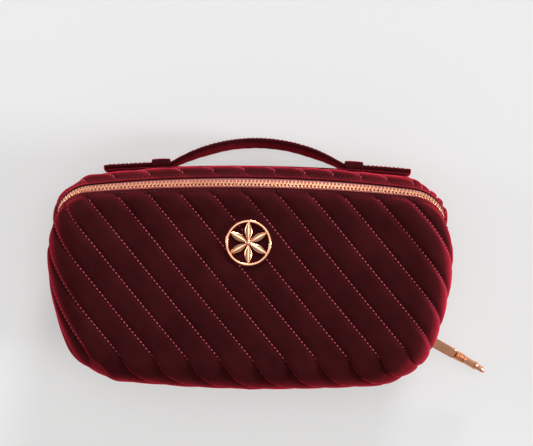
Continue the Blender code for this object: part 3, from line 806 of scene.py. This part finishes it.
def zip_frames(turns, side):
    """Place and axes along the chain: along it, towards the other row, and out of the bag."""
    at = zip_points(turns, 0.0, CHAIN_DEPTH)
    ahead = zip_points(turns + 0.05, 0.0, CHAIN_DEPTH)
    up = zip_points(turns, 0.4 * MM, CHAIN_DEPTH)
    along = ahead - at
    along /= np.linalg.norm(along, axis=1, keepdims=True)
    rise = up - at
    rise -= along * (rise * along).sum(1, keepdims=True)
    rise /= np.linalg.norm(rise, axis=1, keepdims=True)
    out = np.cross(along, rise)
    _, normal = outline(turns)
    flip = np.sign((out[:, :2] * normal).sum(1))[:, None]
    return at, along, rise * -side, out * flip


def make_teeth():
    """Both rows; on the right they stand a little apart, so that the slider passes between them."""
    points, faces = tooth_shape()
    last = ZIP_LEFT_TURN - STOP_SPAN - 0.8
    for half, side, start, body in (("back", -1.0, ZIP_RIGHT_TURN + STOP_SPAN + 0.8, "back_half"),
                                    ("front", 1.0, LID_ZIP_TURN + 0.6, "lid")):
        count = int(outline_length(start, last) / TOOTH_PITCH)
        turns = even_turns(last, start, 2 * count + 1)[int(side > 0)::2]
        at, along, across, out = zip_frames(turns, side)
        apart = (1.0 - smooth_step(turns, 14.0, 21.0)) * 1.4 * MM
        placed = (at - across * apart[:, None])[:, None] + points @ np.stack([along, across, out], 1)
        every = repeat_faces(faces, len(points), len(turns))
        item = mesh_object("teeth_" + half, placed.reshape(-1, 3), every, MATERIALS["gold"], 40.0)
        turn_outwards(item)
        finish_piece(item, body, "rose_gold", "zip_teeth_" + half)


# Copies of small CAD parts, with their edges rounded

def rounded_copy(node_name, name, body, slot, material, width):
    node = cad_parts[node_name]
    mesh = node.data.copy()
    mesh.name = name
    mesh.materials.clear()
    mesh.transform(node.matrix_world)
    work = bmesh.new()
    work.from_mesh(mesh)
    bmesh.ops.remove_doubles(work, verts=work.verts[:], dist=1e-6)
    bmesh.ops.dissolve_limit(work, angle_limit=math.radians(1.0), verts=work.verts[:], edges=work.edges[:])
    work.to_mesh(mesh)
    work.free()
    item = new_object(name, mesh, material, True, 50.0)
    modifier = item.modifiers.new("edges", "BEVEL")
    modifier.width = width
    modifier.segments = 3
    modifier.limit_method = "ANGLE"
    modifier.angle_limit = math.radians(25.0)
    modifier.harden_normals = False
    return finish_piece(item, body, slot, node_name)


def soft_section(half_thick, half_wide, sides, power=3.0):
    """Loop of points round a rounded oblong: thickness, then width."""
    points = []
    for side in range(sides):
        turn = 2.0 * math.pi * (side + 0.5) / sides
        across, out = math.cos(turn), math.sin(turn)
        points.append((half_thick * math.copysign(abs(out) ** (2.0 / power), out),
                       half_wide * math.copysign(abs(across) ** (2.0 / power), across)))
    return points


# Handle

def handle_frame():
    lean = lean_at(np.array([90.0]), HANDLE_Z, 0.0)
    wall = lean_points(np.array([90.0]), lean, 0.0)[0]
    tilt = Matrix.Rotation(math.radians(HANDLE_TILT), 4, "X")
    return Matrix.Translation((HANDLE_X, wall[1], wall[2])) @ tilt


def base_rise(x):
    """Fall of the strap's base towards its ends, as the top of the bag is rounded."""
    return -STRAP_SAG * (x / STRAP_HALF) ** 2


def arch_share(x):
    return np.maximum(0.0, 1.0 - (x / ARCH_HALF) ** 2)


def strap_lean(x):
    """The arch leans back a little more than the strap's flat ends."""
    return ARCH_TWIST * float(smooth_step(arch_share(x), 0.0, 0.7))


def arch_rise(x):
    return base_rise(x) + ARCH_RISE * arch_share(x)


def strap_out(x):
    """Direction straight out of the arch, in the handle's frame."""
    slope = (arch_rise(x + 0.0002) - arch_rise(x - 0.0002)) / 0.0004
    return Vector((-slope, 1.0, 0.0)).normalized()


def strap_loft(name, xs, span, half_wide, material, capped=(False, False), wobble=0.12 * MM, sides=28):
    """A padded length of strap that follows the arch."""
    place = handle_frame()
    middle, half_thick = (span[0] + span[1]) / 2, (span[1] - span[0]) / 2
    rows = []
    for x in xs:
        out = strap_out(x)
        near = min(abs(x - xs[0]) if capped[0] else 1.0, abs(x - xs[-1]) if capped[1] else 1.0)
        size = 1.0 - 0.30 * (1.0 - min(1.0, near / (0.6 * MM))) ** 2
        puff = 1.0 + 0.05 * math.sin(x * 900.0) + 0.04 * noise.noise(Vector((x * 260.0, 3.0, 1.0)))
        row = []
        lean = strap_lean(x)
        for thick, wide in soft_section(half_thick * size * puff, half_wide * size, sides):
            thick, wide = (thick * math.cos(lean) + wide * math.sin(lean),
                           wide * math.cos(lean) - thick * math.sin(lean))
            spot = Vector((x, middle + float(arch_rise(x)), wide)) + out * thick
            spot += Vector((0.0, 1.0, 0.0)) * wobble * noise.noise(Vector((x * 120.0, wide * 300.0, 5.0)))
            row.append(place @ spot)
        rows.append([tuple(point) for point in row])
    return loft(name, rows, material, sharp=60.0)


def point_on_strap(x):
    return put(handle_frame(), x, sum(STRAP_Y) / 2 + float(arch_rise(x)), 0.0)


def strap_stitches(name, xs, body, material):
    """Two rows of stitches along the outer face of a length of strap."""
    place = handle_frame()
    starts, ends, ups = [], [], []
    for wide in (-4.6 * MM, 4.6 * MM):
        for x in np.arange(xs[0] + 1.0 * MM, xs[1] - 2.5 * MM, 2.6 * MM):
            for spot, store in ((x, starts), (x + 1.7 * MM, ends)):
                top = STRAP_Y[1] + float(arch_rise(spot)) - 0.50 * MM + wide * math.sin(strap_lean(spot))
                store.append(put(place, spot, top, wide))
            ups.append(tuple(place.to_3x3() @ strap_out(x)))
    item = stitch_mesh(name, np.array(starts), np.array(ends), np.array(ups), material)
    return finish_piece(item, body, "velvet")


def make_loop(name, middle, material, node):
    """A flat sleeve of folded velvet round the strap, with raised edges."""
    place = handle_frame()
    rows = []
    profile = [(-5.6, 0.75), (-5.2, 1.15), (-4.4, 0.95), (-2.0, 0.80), (0.0, 0.84), (2.0, 0.80), (4.4, 0.95),
               (5.2, 1.15), (5.6, 0.75), (5.2, 0.30), (0.0, 0.25), (-5.2, 0.30)]
    centre = sum(STRAP_Y) / 2
    for along, grow in profile:
        x = middle + along * MM
        half_thick = (STRAP_Y[1] - STRAP_Y[0]) / 2 + grow * MM
        row = []
        for thick, wide in soft_section(half_thick, 6.2 * MM + grow * MM, 32, 3.6):
            y = max(centre + thick, BASE_Y[1] - 0.2 * MM)
            wave = 0.10 * MM * noise.noise(Vector((wide * 500.0, along, 2.0)))
            if thick > 0.0:
                wave += 1.2 * MM * (1.0 - (abs(along) / 6.4) ** 4)
            row.append(put(place, x, y + float(arch_rise(x)) + wave, wide))
        rows.append(row)
    item = loft(name, rows, material, ring=True, sharp=70.0)
    return finish_piece(item, "back_half", "velvet", node)


def make_handle():
    velvet, thread = MATERIALS["velvet"], MATERIALS["dark_thread"]
    xs = np.linspace(-BASE_HALF, BASE_HALF, 185)
    place = handle_frame()
    rows = []
    for x in xs:
        droop = base_rise(x)
        size = 1.0 if abs(x) < BASE_HALF - 0.3 * MM else 0.85
        half = (BASE_Y[1] - BASE_Y[0]) / 2 * size
        rows.append([put(place, x, sum(BASE_Y) / 2 + droop + thick, wide)
                     for thick, wide in soft_section(half, 7.0 * MM * size, 24, 3.4)])
    finish_piece(loft("strap_base", rows, velvet, sharp=60.0), "back_half", "velvet", "handle_base")

    finish_piece(strap_loft("strap_grip", np.linspace(-GRIP_HALF, GRIP_HALF, 121), STRAP_Y, 6.1 * MM, velvet),
                 "handle", "velvet", "handle_grip")
    strap_stitches("grip_stitching", (-GRIP_HALF, GRIP_HALF), "handle", thread)
    for name, side in (("left", -1.0), ("right", 1.0)):
        xs = np.linspace(side * STRAP_HALF, side * GRIP_HALF, 90)
        neck = strap_loft("strap_neck_" + name, xs, STRAP_Y, 6.1 * MM, velvet, (True, False))
        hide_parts("handle_end_" + name)
        point_on_strap(side * 52.5 * MM)
        point_on_strap(side * 44.5 * MM)
        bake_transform(neck)
        span = sorted((side * 92.0 * MM, side * 66.0 * MM))
        strap_stitches("end_stitching_" + name, span, "back_half", thread)
        make_loop("strap_loop_" + name, side * LOOP_X, velvet, "handle_loop_" + name)


# Zip furniture

def make_zip_ends():
    for name, start in (("zip_stop_left", ZIP_LEFT_TURN - STOP_SPAN), ("zip_stop_right", ZIP_RIGHT_TURN)):
        rows = []
        for share in np.linspace(0.0, 1.0, 9):
            size = 1.0 - 0.35 * abs(2.0 * share - 1.0) ** 4
            turn = np.array([start + STOP_SPAN * share])
            rows.append([zip_points(turn, wide - STOP_DROP, CHAIN_DEPTH - thick)[0]
                         for thick, wide in soft_section(STOP_HALF[0] * size, STOP_HALF[1] * size, 20, 4.0)])
        item = loft(name + "_metal", rows, MATERIALS["gold"], sharp=40.0)
        finish_piece(item, "back_half", "rose_gold", name)
    for name, turns, depths in (("zip_tab_left", (223.4, 231.6), (-11.5, 2.0)),
                                ("zip_tab_right", (-48.5, -40.4), (0.6, 5.0))):
        middle, half = sum(turns) / 2, (turns[1] - turns[0]) / 2
        rows = []
        for depth in np.linspace(depths[1], depths[0], 26):
            near = min(depth - depths[0], 0.5) / 0.5
            row = []
            half_thick, half_wide = (0.55 + 0.45 * near) * MM, half * (0.93 + 0.07 * near)
            for thick, wide in soft_section(half_thick, half_wide, 24, 4.0):
                lift = thick - 1.4 * MM + 0.25 * MM * math.sin(depth * 0.5)
                row.append(zip_points(np.array([middle + wide]), lift, depth * MM)[0])
            rows.append(row)
        item = loft(name + "_cloth", rows, MATERIALS["elastic"], sharp=50.0)
        finish_piece(item, "back_half", "lining", name)


def make_hinge():
    """Velvet that closes the gap between the halves along the bottom and round both heels."""
    turns = even_turns(-131.0, -47.0, 150)
    turns = np.where(turns < -90.0, turns + 360.0, turns)
    section = [(share * HINGE_HALF, (0.15 + 0.9 * share ** 6 - 0.25 * math.cos(share * 1.5)) * MM)
               for share in np.linspace(-1.0, 1.0, 15)]
    section += [(share * HINGE_HALF, (1.7 + 0.6 * share ** 6) * MM) for share in np.linspace(1.0, -1.0, 9)]
    item = loft("hinge_velvet", zip_rows(turns, section), MATERIALS["velvet"], sharp=60.0)
    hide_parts("hinge_panel")
    axis = zip_points(np.array([-90.0]), 0.0, 0.0)[0]
    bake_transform(item)


# Badge

def badge_frame():
    out = Vector((0.0, -FACE_SLOPE, 1.0)).normalized()
    up = Vector((0.0, 1.0, FACE_SLOPE)).normalized()
    frame_axes = Matrix((up.cross(out), up, out)).transposed().to_4x4()
    x, y = BADGE_AT
    return Matrix.Translation((x, y, face_z(y))) @ frame_axes


def make_badge():
    """Ring round a blossom of six slim petals with a domed heart."""
    place = badge_frame()
    gold = MATERIALS["gold"]
    rows = []
    for turn in np.linspace(0.0, 2.0 * math.pi, 121)[:-1]:
        row = []
        for thick, wide in soft_section(0.95 * MM, 0.85 * MM, 16, 2.6):
            radius = BADGE_RADIUS - 0.85 * MM + wide
            row.append(put(place, radius * math.cos(turn), radius * math.sin(turn), 1.15 * MM + thick))
        rows.append(row)
    pieces = [loft("badge_ring", rows, gold, ring=True, sharp=60.0)]
    for index in range(6):
        spin = math.radians(90.0 + 60.0 * index)
        rows = []
        for share in np.linspace(0.0, 1.0, 31):
            along = (1.2 + 11.2 * share) * MM
            half = (0.35 + 1.75 * math.sin(math.pi * min(1.0, share * 1.02)) ** 0.8) * MM
            row = []
            for thick, wide in soft_section(0.5 * MM, half, 20, 2.2):
                ridge = 0.45 * MM * (1.0 - min(1.0, abs(wide) / half)) if thick > 0 else 0.0
                x = along * math.cos(spin) - wide * math.sin(spin)
                y = along * math.sin(spin) + wide * math.cos(spin)
                row.append(put(place, x, y, 1.0 * MM + thick + ridge))
            rows.append(row)
        pieces.append(loft("badge_petal_%d" % index, rows, gold, sharp=40.0))
    rows = []
    for step in range(13):
        turn = math.pi / 2 * step / 12
        radius = max(2.1 * MM * math.cos(turn), 0.05 * MM)
        height = 1.1 * MM + 1.3 * MM * math.sin(turn)
        rows.append([put(place, radius * math.cos(around), radius * math.sin(around), height)
                     for around in np.linspace(0.0, 2.0 * math.pi, 33)[:-1]])
    pieces.append(loft("badge_heart", rows, gold, sharp=60.0))
    whole = pieces[0]
    with bpy.context.temp_override(active_object=whole, object=whole, selected_editable_objects=pieces,
                                   selected_objects=pieces):
        bpy.ops.object.join()
    whole.name = "badge_blossom"
    finish_piece(whole, "lid", "rose_gold", "badge")


# Inside

def cup_cloth(name, side, body, node):
    """The lining of one half, with soft wrinkles."""
    turns = round_turns(120)
    ring, _ = Skin(side).ring_at(turns)
    rows = []
    for depth, order in zip(LINING_DEPTHS, (1, -1)):
        rim = zip_lean(turns, side * RIM_GAP, depth)
        layer = []
        for share in np.linspace(0.0, 1.0, 15):
            flat = ring * share ** 1.2
            level = face_z(flat[:, 1]) - depth if side > 0 else np.full(len(flat), depth)
            layer.append(np.concatenate([flat, level[:, None]], 1))
        layer[0][:, :2] = ring * 0.004
        for share in np.linspace(0.0, 1.0, 25)[1:]:
            layer.append(lean_points(turns, side * 90.0 + (rim - side * 90.0) * share, depth))
        rows += layer[::order]
    rows = np.array(rows)
    points = rows.reshape(-1, 3)
    shift = noise_field(points, 60.0, 11.0) * LINING_WRINKLE
    shift += noise_field(points * np.array((1.0, 0.4, 2.0)), 150.0, 4.0) * LINING_WRINKLE * 0.4
    aim = np.array((0.0, 0.0, 40.0 * MM)) - rows
    aim /= np.linalg.norm(aim, axis=2, keepdims=True)
    loose = np.abs(shift).reshape(rows.shape[:2])
    loose[[0, -1]] = 0.0
    item = loft(name, rows + aim * loose[..., None], MATERIALS["lining"], sharp=70.0)
    return finish_piece(item, body, "lining", node)


def make_inside():
    cup_cloth("front_satin", 1.0, "lid", "front_lining")
    cup_cloth("back_satin", -1.0, "back_half", "back_lining")
    for node, name, body, slot, width in (("front_binding", "front_binding_cloth", "lid", "lining", 0.6),
                                          ("back_binding", "back_binding_cloth", "back_half", "lining", 0.6),
                                          ("inner_pocket", "pocket_cloth", "back_half", "lining", 0.35),
                                          ("brush_band", "brush_loops", "lid", "elastic", 0.22)):
        rounded_copy(node, name, body, slot, MATERIALS[slot], width * MM)
    rows = []
    for x in np.linspace(-72.0 * MM, 72.0 * MM, 289):
        ripple = 1.0 + 0.12 * math.sin(x / (1.1 * MM))
        rows.append([(x, 23.85 * MM + wide * ripple, 13.2 * MM + thick * ripple)
                     for thick, wide in soft_section(0.95 * MM, 1.35 * MM, 16, 2.4)])
    item = loft("pocket_gather", rows, MATERIALS["elastic"], sharp=60.0)
    finish_piece(item, "back_half", "elastic", "pocket_elastic")


def node_points(name):
    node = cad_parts[name]
    return [node.matrix_world @ corner.co for corner in node.data.vertices]


def centre_of(points):
    return sum(points, Vector()) / len(points)


def pull_axis(node):
    """A point on the pull's own axis, the axis, and how far along it one of its nodes reaches."""
    near = centre_of(node_points("pull_case"))
    axis = (centre_of(node_points("pull_sleeve")) - near).normalized()
    spans = [(point - near).dot(axis) for point in node_points(node)]
    return near, axis, min(spans), max(spans)


def lathe_on_pull(name, node, profile):
    """A turned part on the pull's own axis; profile is (share of its length, radius)."""
    near, axis, low, high = pull_axis(node)
    beside = axis.orthogonal().normalized()
    above = axis.cross(beside)
    rows = []
    for share, radius in profile:
        middle = near + axis * (low + (high - low) * share)
        rows.append([tuple(middle + (beside * math.cos(turn) + above * math.sin(turn)) * radius * MM)
                     for turn in np.linspace(0.0, 2.0 * math.pi, 49)[:-1]])
    item = loft(name, rows, MATERIALS["gold"], sharp=35.0)
    return finish_piece(item, "pull", "rose_gold", node)


def make_pull_case():
    """The flat case at the root of the pull, with its broad face to the front."""
    near, axis, low, high = pull_axis("pull_case")
    front = Vector((0.0, 0.17, 1.0))
    front = (front - axis * front.dot(axis)).normalized()
    beside = axis.cross(front)
    rows = []
    for share, size in ((0.0, 0.86), (0.02, 0.97), (0.04, 1.0), (0.5, 1.0), (0.93, 1.0), (0.95, 0.97),
                        (0.97, 0.9), (1.0, 0.9)):
        middle = near + axis * (low + (high - low) * share)
        rows.append([tuple(middle + front * thick + beside * wide)
                     for thick, wide in soft_section(1.9 * MM * size, 3.1 * MM * size, 40, 9.0)])
    finish_piece(loft("case_bar", rows, MATERIALS["gold"], sharp=40.0), "pull", "rose_gold", "pull_case")


def make_metal():
    make_pull_case()
    rings = [(0.0, 2.3)]
    for start in (0.02, 0.27, 0.52, 0.77):
        rings += [(start, 2.45), (start + 0.03, 2.85), (start + 0.15, 2.85), (start + 0.18, 2.45)]
    lathe_on_pull("collar_rings", "pull_collar", rings + [(1.0, 2.3)])
    lathe_on_pull("sleeve_tube", "pull_sleeve", [(0.0, 2.2), (0.02, 2.55), (0.08, 2.65), (0.10, 2.4),
                                                 (0.80, 2.4), (0.82, 2.62), (0.97, 2.62), (1.0, 2.45)])
    for node, body, width in (("slider_body", "slider", 0.45), ("slider_bridge", "slider", 0.3),
                              ("pull_link", "pull", 0.32), ("pull_bullet", "pull", 0.12)):
        rounded_copy(node, node + "_metal", body, "rose_gold", MATERIALS["gold"], width * MM)


def color_carried_nodes():
    """The hidden layers and plates that stay as the CAD model has them."""
    for name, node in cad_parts.items():
        if "wadding" in name:
            material = MATERIALS["wadding"]
        elif "board" in name or name == "handle_patch":
            material = MATERIALS["board"]
        elif "backplate" in name:
            material = MATERIALS["gold"]
        else:
            material = MATERIALS["velvet"]
        node.data.materials.clear()
        node.data.materials.append(material)


# Scene

def add_light(name, kind, energy, towards):
    light = bpy.data.lights.new(name, kind)
    light.energy = energy
    lamp = bpy.data.objects.new(name, light)
    bpy.context.scene.collection.objects.link(lamp)
    lamp.rotation_euler = Vector(towards).to_track_quat("Z", "Y").to_euler()
    return lamp


def make_stage():
    mesh = bpy.data.meshes.new("floor")
    size, level = 6.0, -0.0002
    corners = [(-size, -size, level), (size, -size, level), (size, size, level), (-size, size, level)]
    mesh.from_pydata(corners, [], [(0, 1, 2, 3)])
    nodes = Nodes("light_table", (0.445, 0.455, 0.465), 0.9)
    nodes.set("Emission Color", (1.0, 0.965, 0.93, 1.0))
    nodes.set("Emission Strength", 0.32)
    floor = new_object("floor", mesh, nodes.material, smooth=False)
    world = bpy.data.worlds.new("studio")
    world.use_nodes = True
    background = world.node_tree.nodes["Background"]
    background.inputs["Color"].default_value = (1.0, 0.99, 0.98, 1.0)
    background.inputs["Strength"].default_value = 0.38
    bpy.context.scene.world = world
    for name, towards, angle, energy in (("front", (0.12, 0.30, 1.0), 30.0, 0.45),
                                         ("top", (0.25, 1.0, 0.26), 16.0, 3.0),
                                         ("right", (1.0, -0.05, 0.24), 16.0, 3.0),
                                         ("left", (-1.0, 0.15, 0.24), 16.0, 0.9)):
        add_light(name, "SUN", energy, towards).data.angle = math.radians(angle)
    softbox = add_light("softbox", "AREA", 3.8, (0.06, 0.24, 1.0))
    softbox.data.size = 1.0
    softbox.location = (0.10, 0.40, 1.55)
    bpy.context.scene.view_settings.view_transform = "Standard"


def make_camera():
    tilt, roll = math.radians(10.0), math.radians(0.77)
    aim = Vector((9.4, 30.1, 45.0)) * MM
    distance, field_width = 1.0, 0.320
    camera = bpy.data.cameras.new("camera")
    camera.sensor_width = 36.0
    camera.lens = camera.sensor_width * distance / field_width
    item = bpy.data.objects.new("camera", camera)
    bpy.context.scene.collection.objects.link(item)
    back = Vector((0.0, math.sin(tilt), math.cos(tilt)))
    up = Vector((0.0, math.cos(tilt), -math.sin(tilt)))
    turn = Matrix((up.cross(back), up, back)).transposed() @ Matrix.Rotation(roll, 3, "Z")
    item.matrix_world = Matrix.Translation(aim + back * distance) @ turn.to_4x4()
    bpy.context.scene.camera = item


make_stage()
make_camera()
front_skin = make_velvet("front_velvet", 1.0, "lid", MATERIALS["velvet"], "front_shell")
back_skin = make_velvet("back_velvet", -1.0, "back_half", MATERIALS["velvet"], "back_shell")
make_quilt_stitches("front_quilting", front_skin, "lid")
make_quilt_stitches("back_quilting", back_skin, "back_half")
make_edge_stitches("front_edge_stitching", front_skin, "lid")
make_edge_stitches("back_edge_stitching", back_skin, "back_half")
make_tapes()
make_teeth()
make_zip_ends()
make_hinge()
make_handle()
make_badge()
make_metal()
make_inside()
color_carried_nodes()
